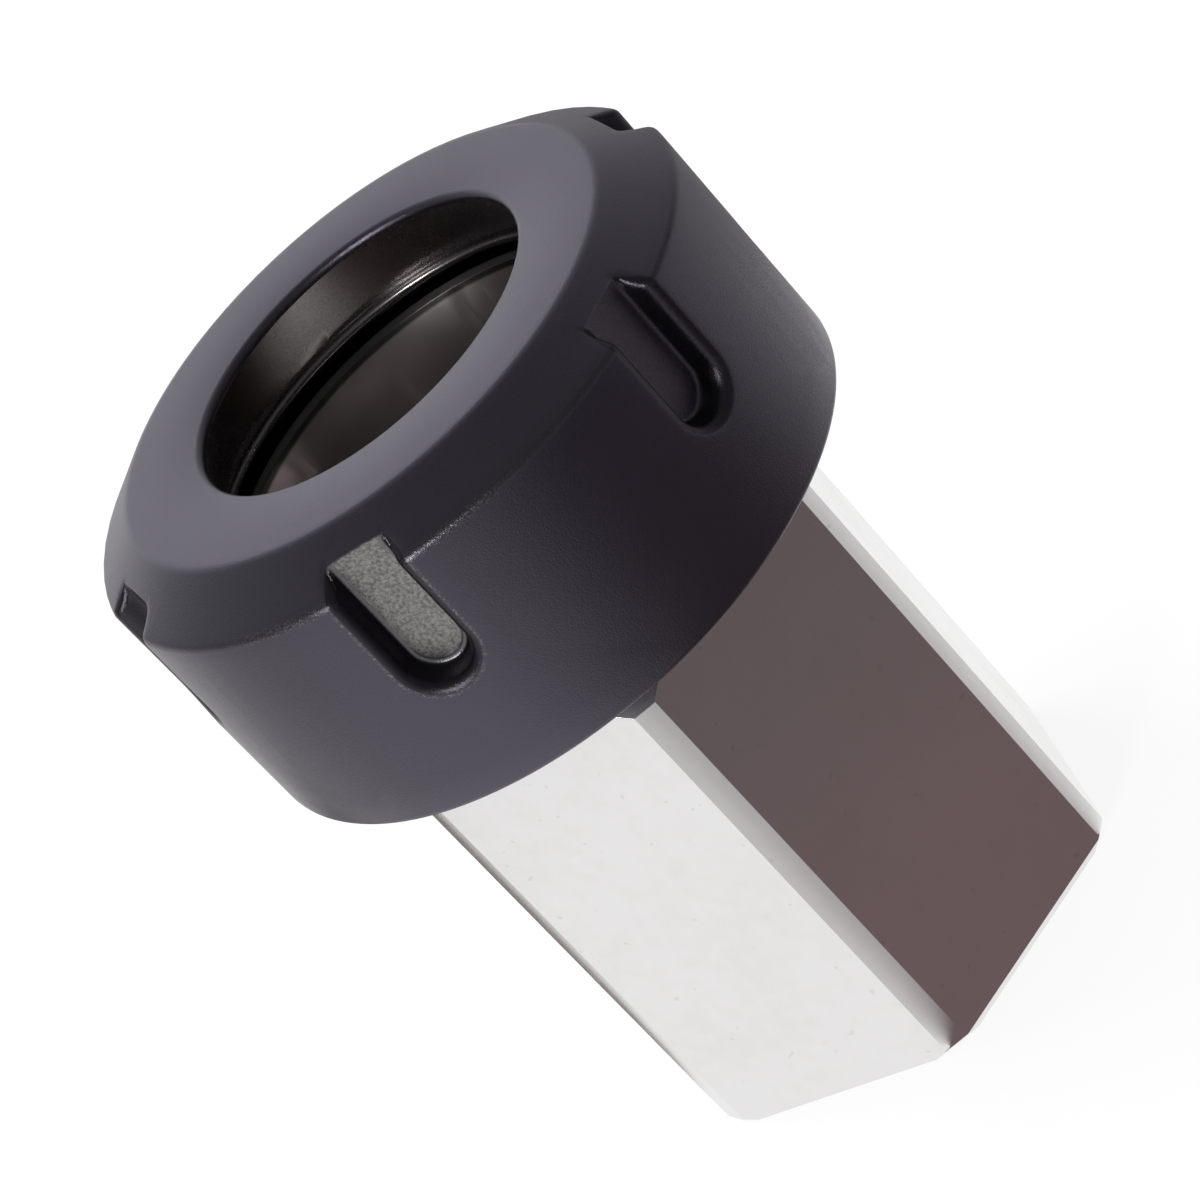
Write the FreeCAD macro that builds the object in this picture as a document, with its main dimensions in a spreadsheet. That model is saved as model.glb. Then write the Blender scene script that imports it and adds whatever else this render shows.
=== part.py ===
import FreeCAD, Part
import math
import os

import Sketcher
from FreeCAD import Vector

# Hexagonal collet block with its clamping nut, standing on the flat rear end.
# Origin on the axis at the rear end, +Z up towards the nut, millimetres.
# One corner of the hexagon points along -Y and two flats face +X and -X.

PARTS_FOLDER = "parts"

DIMENSIONS = {
    # block, outside
    "across_flats": 35.0,
    "bar_diameter": 39.4,
    "hex_length": 39.0,
    "rear_chamfer": 0.5,
    "corner_bevel_length": 1.4,
    "corner_bevel_angle": 35.0,
    "relief_diameter": 37.2,
    "relief_length": 3.6,
    "spigot_chamfer": 0.8,
    # thread of the spigot and nut, drawn plain at its pitch diameter
    "thread_pitch_diameter": 39.026,
    "thread_clearance": 0.15,
    # where the nut stands on the spigot
    "shoulder_gap": 2.4,
    "lip_gap": 1.2,
    # block, inside: 8 degree collet socket and through bore
    "socket_mouth_diameter": 33.0,
    "socket_half_angle": 8.0,
    "socket_depth": 34.0,
    "socket_mouth_chamfer": 0.4,
    "through_bore": 22.0,
    "bore_chamfer": 1.0,
    # nut, outside
    "nut_diameter": 50.0,
    "nut_length": 21.8,
    "nut_turn_angle": 13.4,
    "nut_rear_chamfer": 0.5,
    "nose_face_diameter": 41.0,
    "nose_drop": 3.0,
    "nose_side_break": 0.45,
    "nose_face_radius": 1.2,
    # nut, inside: mouth, 30 degree collet seat, eccentric extraction lip
    "mouth_diameter": 27.4,
    "mouth_land": 0.7,
    "mouth_edge_break": 0.3,
    "seat_half_angle": 30.0,
    "seat_length": 4.2,
    "lip_diameter": 33.0,
    "lip_offset": 0.75,
    "lip_thickness": 1.4,
    "lip_edge_break": 0.4,
    "collar_relief": 0.6,
    "collar_width": 0.7,
    "thread_runout_diameter": 40.5,
    "thread_runout_width": 1.6,
    "thread_lead_in": 0.9,
    # spanner slots of the nut
    "slot_count": 6,
    "slot_floor_width": 4.4,
    "slot_depth": 2.3,
    "slot_length": 12.3,
    "slot_wall_angle": 10.0,
    "slot_rim_depth": 0.65,
    "slot_rim_angle": 50.0,
}

SHEET = "Sizes"


def size(alias):
    """The expression that reads one driving dimension."""
    return f"{SHEET}.{alias}"


def half(alias):
    """The expression for half of one driving dimension."""
    return f"{SHEET}.{alias} / 2"


def make_sheet(doc):
    """Write every driving dimension into the spreadsheet and name its cell."""
    sheet = doc.addObject("Spreadsheet::Sheet", SHEET)
    for row, (alias, value) in enumerate(DIMENSIONS.items(), start=1):
        sheet.set(f"A{row}", alias)
        sheet.set(f"B{row}", str(value))
        sheet.setAlias(f"B{row}", alias)
    doc.recompute()


def origin_feature(body, role):
    """The plane or axis of a body's own origin with the given role."""
    for feature in body.Origin.OriginFeatures:
        if feature.Role == role:
            return feature
    raise LookupError(f"{body.Label} has no {role}")


def attached_sketch(body, name, role, height=None):
    """A sketch on one of the body's origin planes, raised along its normal by an expression."""
    sketch = body.newObject("Sketcher::SketchObject", name)
    sketch.AttachmentSupport = [(origin_feature(body, role), "")]
    sketch.MapMode = "FlatFace"
    if height is not None:
        sketch.setExpression(".AttachmentOffset.Base.z", height)
    body.Document.recompute()
    return sketch


def pin(sketch, geometry, point, across, upward):
    """Fix one point of the sketch at the two expressions, measured from its origin."""
    for kind, axis, expression in (("DistanceX", -2, across), ("DistanceY", -1, upward)):
        if expression == "0":
            sketch.addConstraint(Sketcher.Constraint("PointOnObject", geometry, point, axis))
            continue
        value = float(sketch.evalExpression(expression))
        index = sketch.addConstraint(Sketcher.Constraint(kind, -1, 1, geometry, point, value))
        sketch.setExpression(f"Constraints[{index}]", expression)


def draw_outline(sketch, corners):
    """Closed outline of straight lines through (across, upward) pairs of expressions."""
    places = []
    for across, upward in corners:
        x = float(sketch.evalExpression(across))
        y = float(sketch.evalExpression(upward))
        places.append(Vector(x, y, 0))
    lines = []
    for start, end in zip(places, places[1:] + places[:1]):
        lines.append(sketch.addGeometry(Part.LineSegment(start, end), False))
    for line, following in zip(lines, lines[1:] + lines[:1]):
        sketch.addConstraint(Sketcher.Constraint("Coincident", line, 2, following, 1))
    for line, (across, upward) in zip(lines, corners):
        pin(sketch, line, 1, across, upward)


def add_feature(body, kind, name, sketch):
    """A new PartDesign feature of the body that works on one profile."""
    feature = body.newObject(f"PartDesign::{kind}", name)
    feature.Profile = sketch
    return feature


def turn(body, kind, name, corners):
    """Revolve a radius and height outline round the body's own Z axis, as on a lathe."""
    sketch = attached_sketch(body, f"{name}Outline", "XZ_Plane")
    draw_outline(sketch, corners)
    feature = add_feature(body, kind, name, sketch)
    feature.ReferenceAxis = (sketch, ["V_Axis"])
    feature.Angle = 360
    body.Document.recompute()


def bore_out(body, name, corners):
    """Take a turned outline away from the body."""
    before = body.Shape.Volume
    turn(body, "Groove", name, corners)
    require_cut(body, name, before)


def require_cut(body, name, before):
    """Stop if a cut took nothing away."""
    if not body.Shape.Volume < before:
        raise RuntimeError(f"{name} cuts nothing from {body.Label}")


def repeat_round(body, name, features, count):
    """Copy features evenly round the Z axis; count is an expression."""
    before = body.Shape.Volume
    pattern = body.newObject("PartDesign::PolarPattern", name)
    pattern.Originals = features
    pattern.Axis = (origin_feature(body, "Z_Axis"), [""])
    pattern.Angle = 360
    pattern.setExpression("Occurrences", count)
    body.Tip = pattern
    body.Document.recompute()
    require_cut(body, name, before)


def dress_edges(body, kind, name, edge_names, width):
    """Chamfer or Fillet the named edges of the body's last feature by a size from the sheet."""
    last = body.Tip
    feature = body.newObject(f"PartDesign::{kind}", name)
    feature.Base = (last, edge_names)
    feature.setExpression("Size" if kind == "Chamfer" else "Radius", width)
    body.Tip = feature
    body.Document.recompute()


def circle_edges(shape, radius, height, tolerance=0.01):
    """Names of the circular edges of one radius that lie at one height."""
    names = []
    for index, edge in enumerate(shape.Edges, start=1):
        curve = edge.Curve
        if not isinstance(curve, Part.Circle):
            continue
        level = abs(curve.Center.z - height) < tolerance and abs(curve.Axis.z) > 0.999
        if level and abs(curve.Radius - radius) < tolerance:
            names.append(f"Edge{index}")
    if not names:
        raise LookupError(f"no circle of radius {radius:.3f} at height {height:.3f}")
    return names


def tangent(angle):
    """The expression for the tangent of an angle held in degrees."""
    return f"tan({size(angle)} * 1 deg)"


# Heights that the nut and the block's spigot share
LIP_STACK = f"{size('mouth_land')} + {size('seat_length')} + {size('collar_width')} + {size('lip_thickness')}"
NUT_BASE = f"{size('hex_length')} + {size('shoulder_gap')}"
BLOCK_TOP = f"{NUT_BASE} + {size('nut_length')} - ({LIP_STACK}) - {size('lip_gap')}"

# Block
FLAT_COUNT = "6"
BAR_RADIUS = half("bar_diameter")
BEVEL_START = f"{size('hex_length')} - {size('corner_bevel_length')}"
BEVEL_END_RADIUS = f"{BAR_RADIUS} - {size('corner_bevel_length')} * {tangent('corner_bevel_angle')}"
RELIEF_END = f"{size('hex_length')} + {size('relief_length')}"
SPIGOT_RADIUS = f"{half('thread_pitch_diameter')} - {half('thread_clearance')}"
SOCKET_FLOOR = f"{BLOCK_TOP} - {size('socket_depth')}"
SOCKET_DROP = f"{size('socket_depth')} * {tangent('socket_half_angle')}"
SOCKET_FLOOR_RADIUS = f"{half('socket_mouth_diameter')} - {SOCKET_DROP}"


def make_block(doc):
    """The hexagonal block: turned bar, six milled flats, ground socket and through bore."""
    body = doc.addObject("PartDesign::Body", "hex_block")
    body.Label = "hex_block"
    turn(
        body,
        "Revolution",
        "TurnedBar",
        [
            ("0", "0"),
            (f"{BAR_RADIUS} - {size('rear_chamfer')}", "0"),
            (BAR_RADIUS, size("rear_chamfer")),
            (BAR_RADIUS, BEVEL_START),
            (BEVEL_END_RADIUS, size("hex_length")),
            (half("relief_diameter"), size("hex_length")),
            (half("relief_diameter"), RELIEF_END),
            (SPIGOT_RADIUS, RELIEF_END),
            (SPIGOT_RADIUS, f"{BLOCK_TOP} - {size('spigot_chamfer')}"),
            (f"{SPIGOT_RADIUS} - {size('spigot_chamfer')}", BLOCK_TOP),
            ("0", BLOCK_TOP),
        ],
    )
    mill_flats(body)
    mouth = f"{half('socket_mouth_diameter')} + {size('socket_mouth_chamfer')}"
    bore_out(
        body,
        "SocketAndBore",
        [
            ("0", "0"),
            (f"{half('through_bore')} + {size('bore_chamfer')}", "0"),
            (half("through_bore"), size("bore_chamfer")),
            (half("through_bore"), SOCKET_FLOOR),
            (SOCKET_FLOOR_RADIUS, SOCKET_FLOOR),
            (half("socket_mouth_diameter"), f"{BLOCK_TOP} - {size('socket_mouth_chamfer')}"),
            (mouth, BLOCK_TOP),
            ("0", BLOCK_TOP),
        ],
    )
    return body


def mill_flats(body):
    """Mill one flat along the bar and repeat it round the axis."""
    before = body.Shape.Volume
    sketch = attached_sketch(body, "FlatOutline", "XY_Plane")
    reach = size("bar_diameter")
    draw_outline(
        sketch,
        [
            (half("across_flats"), f"-{reach}"),
            (reach, f"-{reach}"),
            (reach, reach),
            (half("across_flats"), reach),
        ],
    )
    flat = add_feature(body, "Pocket", "MilledFlat", sketch)
    flat.Type = "Length"
    flat.setExpression("Length", size("hex_length"))
    flat.Reversed = True
    body.Document.recompute()
    require_cut(body, "MilledFlat", before)
    repeat_round(body, "SixFlats", [flat], FLAT_COUNT)


# Nut, measured up from its own rear face
NUT_RADIUS = half("nut_diameter")
NOSE_HEIGHT = f"{size('nut_length')} - {size('nose_drop')}"
SEAT_START = f"{size('nut_length')} - {size('mouth_land')}"
SEAT_END = f"{SEAT_START} - {size('seat_length')}"
SEAT_END_RADIUS = f"{half('mouth_diameter')} + {size('seat_length')} * {tangent('seat_half_angle')}"
LIP_TOP = f"{SEAT_END} - {size('collar_width')}"
LIP_BOTTOM = f"{LIP_TOP} - {size('lip_thickness')}"
RUNOUT_END = f"{LIP_BOTTOM} - {size('thread_runout_width')}"
NUT_BORE_RADIUS = f"{half('thread_pitch_diameter')} + {half('thread_clearance')}"
COLLAR_RADIUS = f"{half('lip_diameter')} + {size('lip_offset')} + {size('collar_relief')}"
LIP_BLANK_RADIUS = f"{half('lip_diameter')} - 2 * {size('lip_offset')}"
SLOT_FLOOR = f"{NUT_RADIUS} - {size('slot_depth')}"


def make_nut(doc):
    """The clamping nut: turned ring with collet seat, extraction lip and six spanner slots."""
    body = doc.addObject("PartDesign::Body", "clamping_nut")
    body.Label = "clamping_nut"
    turn(
        body,
        "Revolution",
        "TurnedRing",
        [
            (f"{NUT_BORE_RADIUS} + {size('thread_lead_in')}", "0"),
            (f"{NUT_RADIUS} - {size('nut_rear_chamfer')}", "0"),
            (NUT_RADIUS, size("nut_rear_chamfer")),
            (NUT_RADIUS, NOSE_HEIGHT),
            (half("nose_face_diameter"), size("nut_length")),
            (half("mouth_diameter"), size("nut_length")),
            (half("mouth_diameter"), SEAT_START),
            (SEAT_END_RADIUS, SEAT_END),
            (COLLAR_RADIUS, SEAT_END),
            (COLLAR_RADIUS, LIP_TOP),
            (LIP_BLANK_RADIUS, LIP_TOP),
            (LIP_BLANK_RADIUS, LIP_BOTTOM),
            (half("thread_runout_diameter"), LIP_BOTTOM),
            (half("thread_runout_diameter"), RUNOUT_END),
            (NUT_BORE_RADIUS, RUNOUT_END),
            (NUT_BORE_RADIUS, size("thread_lead_in")),
        ],
    )
    bore_lip(body)
    break_turned_edges(body)
    mill_slots(body)
    body.setExpression(".Placement.Base.z", NUT_BASE)
    body.setExpression(".Placement.Rotation.Angle", size("nut_turn_angle"))
    return body


def bore_lip(body):
    """Bore the extraction lip on a centre set off from the axis, so that one side hooks the collet."""
    before = body.Shape.Volume
    sketch = attached_sketch(body, "LipOutline", "XY_Plane", height=LIP_BOTTOM)
    radius = float(sketch.evalExpression(half("lip_diameter")))
    offset = float(sketch.evalExpression(size("lip_offset")))
    circle = sketch.addGeometry(Part.Circle(Vector(0, -offset, 0), Vector(0, 0, 1), radius), False)
    index = sketch.addConstraint(Sketcher.Constraint("Radius", circle, radius))
    sketch.setExpression(f"Constraints[{index}]", half("lip_diameter"))
    pin(sketch, circle, 3, "0", f"-{size('lip_offset')}")
    pocket = add_feature(body, "Pocket", "EccentricLip", sketch)
    pocket.Type = "Length"
    pocket.setExpression("Length", size("lip_thickness"))
    pocket.Reversed = True
    body.Document.recompute()
    require_cut(body, "EccentricLip", before)


def break_turned_edges(body):
    """Chamfer the lip, the mouth and the nose's side, and round the edge of its face."""
    def value(expression):
        return float(body.evalExpression(expression))

    edges = circle_edges(body.Shape, value(half("lip_diameter")), value(LIP_TOP))
    edges += circle_edges(body.Shape, value(half("lip_diameter")), value(LIP_BOTTOM))
    dress_edges(body, "Chamfer", "BrokenLip", edges, size("lip_edge_break"))
    edges = circle_edges(body.Shape, value(half("mouth_diameter")), value(size("nut_length")))
    dress_edges(body, "Chamfer", "BrokenMouth", edges, size("mouth_edge_break"))
    edges = circle_edges(body.Shape, value(NUT_RADIUS), value(NOSE_HEIGHT))
    dress_edges(body, "Chamfer", "BrokenSide", edges, size("nose_side_break"))
    edges = circle_edges(body.Shape, value(half("nose_face_diameter")), value(size("nut_length")))
    dress_edges(body, "Fillet", "RoundedFace", edges, size("nose_face_radius"))


def mill_slots(body):
    """Mill one spanner slot in from the nose, break its rim and repeat both round the axis."""
    centre = f"{size('nut_length')} - {size('slot_length')} + {half('slot_floor_width')}"
    above = f"{size('nut_length')} + {size('nut_diameter')}"
    slot = flared_slot(
        body,
        "SpannerSlot",
        (SLOT_FLOOR, half("slot_floor_width"), centre, above),
        "slot_wall_angle",
    )
    rim_radius = f"{NUT_RADIUS} - {size('slot_rim_depth')}"
    rim_width = (
        f"{half('slot_floor_width')} + ({size('slot_depth')} - {size('slot_rim_depth')})"
        f" * {tangent('slot_wall_angle')}"
    )
    rim = flared_slot(body, "SlotRim", (rim_radius, rim_width, centre, above), "slot_rim_angle")
    repeat_round(body, "SpannerSlots", [slot, rim], size("slot_count"))


def flared_slot(body, name, place, angle):
    """Pocket a U outwards from the given radius, its walls flaring by an angle of the sheet."""
    radius, wide, centre, above = place
    before = body.Shape.Volume
    sketch = attached_sketch(body, f"{name}Outline", "YZ_Plane", height=radius)
    draw_slot(sketch, wide, centre, above)
    pocket = add_feature(body, "Pocket", name, sketch)
    pocket.Type = "Length"
    pocket.setExpression("Length", f"{NUT_RADIUS} + {size('slot_rim_depth')} - ({radius})")
    pocket.setExpression("TaperAngle", size(angle))
    pocket.Reversed = True
    body.Document.recompute()
    require_cut(body, name, before)
    return pocket


def draw_slot(sketch, wide, centre, above):
    """A U outline: two straight sides, open upward, closed below by a half circle."""
    w = float(sketch.evalExpression(wide))
    c = float(sketch.evalExpression(centre))
    a = float(sketch.evalExpression(above))
    half_circle = Part.ArcOfCircle(Part.Circle(Vector(0, c, 0), Vector(0, 0, 1), w), math.pi, 2 * math.pi)
    left = sketch.addGeometry(Part.LineSegment(Vector(-w, a, 0), Vector(-w, c, 0)), False)
    arc = sketch.addGeometry(half_circle, False)
    right = sketch.addGeometry(Part.LineSegment(Vector(w, c, 0), Vector(w, a, 0)), False)
    top = sketch.addGeometry(Part.LineSegment(Vector(w, a, 0), Vector(-w, a, 0)), False)
    sketch.addConstraint(Sketcher.Constraint("Tangent", left, 2, arc, 1))
    sketch.addConstraint(Sketcher.Constraint("Tangent", arc, 2, right, 1))
    sketch.addConstraint(Sketcher.Constraint("Coincident", right, 2, top, 1))
    sketch.addConstraint(Sketcher.Constraint("Coincident", top, 2, left, 1))
    sketch.addConstraint(Sketcher.Constraint("Vertical", left))
    sketch.addConstraint(Sketcher.Constraint("Vertical", right))
    sketch.addConstraint(Sketcher.Constraint("Horizontal", top))
    pin(sketch, arc, 3, "0", centre)
    radius = sketch.addConstraint(Sketcher.Constraint("Radius", arc, w))
    sketch.setExpression(f"Constraints[{radius}]", wide)
    height = sketch.addConstraint(Sketcher.Constraint("DistanceY", -1, 1, top, 1, a))
    sketch.setExpression(f"Constraints[{height}]", above)


def check_document(doc, bodies):
    """Stop on any failed object or bad shape before a file is written."""
    for item in doc.Objects:
        if "Invalid" in item.State or "Error" in item.State:
            raise RuntimeError(f"{item.Label} failed: {item.State}")
    for body in bodies:
        if body.Shape.isNull() or not body.Shape.isValid():
            raise RuntimeError(f"{body.Label} has no valid shape")
        if len(body.Shape.Solids) != 1:
            raise RuntimeError(f"{body.Label} has {len(body.Shape.Solids)} solids")


def main():
    doc = FreeCAD.newDocument("collet_block")
    make_sheet(doc)
    bodies = [make_block(doc), make_nut(doc)]
    doc.recompute()
    check_document(doc, bodies)
    os.makedirs(PARTS_FOLDER, exist_ok=True)
    for body in bodies:
        body.Shape.exportStep(os.path.join(PARTS_FOLDER, f"{body.Label}.step"))
        print(body.Label, round(body.Shape.Volume, 1))


main()
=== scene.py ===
import logging
import math
from dataclasses import dataclass
from enum import Enum
from typing import Any, Mapping, Optional, Sequence, Union

import bmesh
import bpy
from mathutils import Matrix, Vector


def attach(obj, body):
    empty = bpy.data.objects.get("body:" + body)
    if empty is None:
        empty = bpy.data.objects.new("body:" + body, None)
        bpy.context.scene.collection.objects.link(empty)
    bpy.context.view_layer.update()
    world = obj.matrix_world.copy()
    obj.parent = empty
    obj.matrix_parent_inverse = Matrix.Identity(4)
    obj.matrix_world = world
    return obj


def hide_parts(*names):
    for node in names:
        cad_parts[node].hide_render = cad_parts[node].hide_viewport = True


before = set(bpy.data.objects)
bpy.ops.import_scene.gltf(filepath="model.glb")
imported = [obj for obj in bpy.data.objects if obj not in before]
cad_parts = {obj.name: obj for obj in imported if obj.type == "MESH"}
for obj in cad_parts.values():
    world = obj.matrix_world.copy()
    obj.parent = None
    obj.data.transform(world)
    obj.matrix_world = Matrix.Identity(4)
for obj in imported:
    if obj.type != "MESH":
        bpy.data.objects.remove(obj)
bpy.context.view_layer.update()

log = logging.getLogger("collet_block")

MM = 0.001

# Socket numbers of Blender's Mix node when it blends colours.
MIX_FACTOR, MIX_FIRST, MIX_SECOND, MIX_RESULT = 0, 6, 7, 2

# Stands in a list of radii for the place where the nose cone meets a slot's floor.
FLOOR_EDGE = 0.0

Colour = tuple[float, float, float]

# Two values between which a mask goes from 0 to 1; the first may be the larger one.
Span = tuple[float, float]


def spaced(start: float, end: float, steps: int) -> list[float]:
    """Evenly spaced values from start to end, both included."""
    return [start + (end - start) * step / steps for step in range(steps + 1)]


class Output(Enum):
    """Where a shader tree ends."""

    SURFACE = "ShaderNodeOutputMaterial"
    WORLD = "ShaderNodeOutputWorld"


class Flow:
    """A node's output, wrapped so that Python's operators add Math nodes to its graph."""

    def __init__(self, graph: "Graph", socket: bpy.types.NodeSocket) -> None:
        """Keep the graph and the output socket."""
        self.graph = graph
        self.socket = socket

    def _math(self, operation: str, *values: Any) -> "Flow":
        """Add one Math node with the given operation."""
        return self.graph.add("ShaderNodeMath", {"operation": operation}, dict(enumerate(values)))

    def __add__(self, other: Any) -> "Flow":
        """Sum."""
        return self._math("ADD", self, other)

    def __radd__(self, other: Any) -> "Flow":
        """Sum, with the number first."""
        return self._math("ADD", other, self)

    def __sub__(self, other: Any) -> "Flow":
        """Difference."""
        return self._math("SUBTRACT", self, other)

    def __rsub__(self, other: Any) -> "Flow":
        """Difference, with the number first."""
        return self._math("SUBTRACT", other, self)

    def __mul__(self, other: Any) -> "Flow":
        """Product."""
        return self._math("MULTIPLY", self, other)

    def __rmul__(self, other: Any) -> "Flow":
        """Product, with the number first."""
        return self._math("MULTIPLY", other, self)

    def __truediv__(self, other: Any) -> "Flow":
        """Quotient."""
        return self._math("DIVIDE", self, other)

    def __rtruediv__(self, other: Any) -> "Flow":
        """Quotient, with the number first."""
        return self._math("DIVIDE", other, self)

    def __abs__(self) -> "Flow":
        """Size without sign."""
        return self._math("ABSOLUTE", self)

    def less(self, other: Any) -> "Flow":
        """The smaller of two values."""
        return self._math("MINIMUM", self, other)

    def more(self, other: Any) -> "Flow":
        """The larger of two values."""
        return self._math("MAXIMUM", self, other)

    def call(self, operation: str, *values: Any) -> "Flow":
        """Any other Math operation, such as SINE or MODULO, with this value first."""
        return self._math(operation, self, *values)

    def rise(self, start: float, end: float) -> "Flow":
        """A smooth step from 0 to 1.

        Args:
            start: Value at which the step begins.
            end: Value at which it is complete; may be below start for a falling step.

        Returns:
            The step, from 0 to 1.
        """
        flipped = end < start
        low, high = (end, start) if flipped else (start, end)
        step = self.graph.add(
            "ShaderNodeMapRange",
            {"interpolation_type": "SMOOTHSTEP"},
            {"Value": self, "From Min": low, "From Max": high},
        )
        return 1 - step if flipped else step

    def mixed(self, other: Any, share: Any) -> "Flow":
        """This value where share is 0, another where it is 1."""
        return self + (other - self) * share

    def band(self, centre: float, reach: float) -> "Flow":
        """A smooth bump that is 1 at centre and 0 further than reach from it."""
        return abs(self - centre).rise(reach, 0.0)


class Graph:
    """The node tree of one material or of the world."""

    def __init__(self, tree: bpy.types.NodeTree) -> None:
        """Start from an empty tree."""
        self.tree = tree
        tree.nodes.clear()

    def add(
        self,
        kind: str,
        settings: Optional[Mapping[str, Any]] = None,
        inputs: Optional[Mapping[Union[int, str], Any]] = None,
        output: Union[int, str] = 0,
    ) -> Flow:
        """Add one node.

        Args:
            kind: The node's type, such as ShaderNodeMath.
            settings: Properties set first; "stops" holds a ramp's (place, colour) pairs.
            inputs: Values or flows for its sockets, by name or number.
            output: The output that the returned flow reads.

        Returns:
            The chosen output.
        """
        node = self.tree.nodes.new(kind)
        for name, value in (settings or {}).items():
            if name == "stops":
                self._set_stops(node.color_ramp, value)
            else:
                setattr(node, name, value)
        for key, value in (inputs or {}).items():
            if isinstance(value, Flow):
                self.tree.links.new(value.socket, node.inputs[key])
            else:
                node.inputs[key].default_value = value
        return Flow(self, node.outputs[output])

    @staticmethod
    def _set_stops(ramp: bpy.types.ColorRamp, stops: Sequence[tuple[float, Colour]]) -> None:
        """Give a colour ramp its stops.

        Args:
            ramp: The ramp, which has two stops of its own.
            stops: Place and colour of each stop, in rising order.
        """
        while len(ramp.elements) < len(stops):
            ramp.elements.new(1.0)
        for element, (place, colour) in zip(ramp.elements, stops):
            element.position = place
            element.color = (*colour, 1.0)

    def mix(self, factor: Any, first: Any, second: Any) -> Flow:
        """Blend two colours.

        Args:
            factor: Share of the second colour.
            first: The first colour, a flow or an (r, g, b) triple.
            second: The second colour.

        Returns:
            The blended colour.
        """
        first, second = (
            value if isinstance(value, Flow) else (*value, 1.0) for value in (first, second)
        )
        inputs = {MIX_FACTOR: factor, MIX_FIRST: first, MIX_SECOND: second}
        return self.add("ShaderNodeMix", {"data_type": "RGBA"}, inputs, MIX_RESULT)

    def shine(self, colour: Any) -> Flow:
        """A surface that gives off a colour as it is written, at strength 1."""
        return self.add("ShaderNodeEmission", inputs={"Color": colour, "Strength": 1.0})

    def ray(self, kind: str) -> Flow:
        """1 where the light path is of a kind, such as "Is Camera Ray", and 0 elsewhere."""
        return self.add("ShaderNodeLightPath", output=kind)

    def place(self) -> tuple[Flow, Flow, Flow, Flow]:
        """The point on the object.

        Returns:
            The point itself, and its x, y and z in millimetres.
        """
        point = self.add("ShaderNodeTexCoord", output="Object")
        inputs = {0: point, "Scale": 1 / MM}
        scaled = self.add("ShaderNodeVectorMath", {"operation": "SCALE"}, inputs)
        split = self.add("ShaderNodeSeparateXYZ", inputs={0: scaled})
        x, y, z = (Flow(self, split.socket.node.outputs[axis]) for axis in "XYZ")
        return scaled, x, y, z

    def noise(self, point: Any, scale: float, detail: float = 3.0, rough: float = 0.6) -> Flow:
        """Noise between 0 and 1.

        Args:
            point: Where it is read, in millimetres.
            scale: Features per millimetre.
            detail: Octaves of finer noise.
            rough: Strength of each finer octave.

        Returns:
            The noise value.
        """
        inputs = {"Vector": point, "Scale": scale, "Detail": detail, "Roughness": rough}
        return self.add("ShaderNodeTexNoise", {"noise_dimensions": "3D"}, inputs)

    def stretched(self, point: Flow, scales: Sequence[float]) -> Flow:
        """The point with each axis scaled, for grain that runs one way."""
        inputs = {0: point, 1: tuple(scales)}
        return self.add("ShaderNodeVectorMath", {"operation": "MULTIPLY"}, inputs)

    def joined(self, x: Any, y: Any, z: Any) -> Flow:
        """A vector from three numbers or flows."""
        return self.add("ShaderNodeCombineXYZ", inputs={0: x, 1: y, 2: z})

    def bump(self, height: Flow, strength: float, distance: float) -> Flow:
        """A normal bent by a height.

        Args:
            height: The height, in units of distance.
            strength: From 0 to 1.
            distance: Metres for a height of 1.

        Returns:
            The normal.
        """
        inputs = {"Strength": strength, "Distance": distance, "Height": height}
        return self.add("ShaderNodeBump", inputs=inputs)

    def close(self, kind: Output, surface: Flow) -> None:
        """Feed a shader to the tree's output node of the given type."""
        output = self.tree.nodes.new(kind.value)
        self.tree.links.new(surface.socket, output.inputs["Surface"])

    def metal(self, colour: Any, rough: Any, normal: Flow) -> None:
        """Close the tree with a metal.

        Args:
            colour: Base colour.
            rough: Roughness.
            normal: Surface normal.
        """
        inputs = {"Base Color": colour, "Roughness": rough, "Normal": normal, "Metallic": 1.0}
        self.close(Output.SURFACE, self.add("ShaderNodeBsdfPrincipled", inputs=inputs))


def hypotenuse(first: Flow, second: Flow) -> Flow:
    """Length of the diagonal of two lengths that are square to each other."""
    return (first * first + second * second).call("SQRT")


def new_material(name: str) -> tuple[bpy.types.Material, Graph]:
    """Make a material with an empty graph.

    Args:
        name: The material's name.

    Returns:
        The material and its graph.
    """
    material = bpy.data.materials.new(name)
    material.use_nodes = True
    return material, Graph(material.node_tree)


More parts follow.
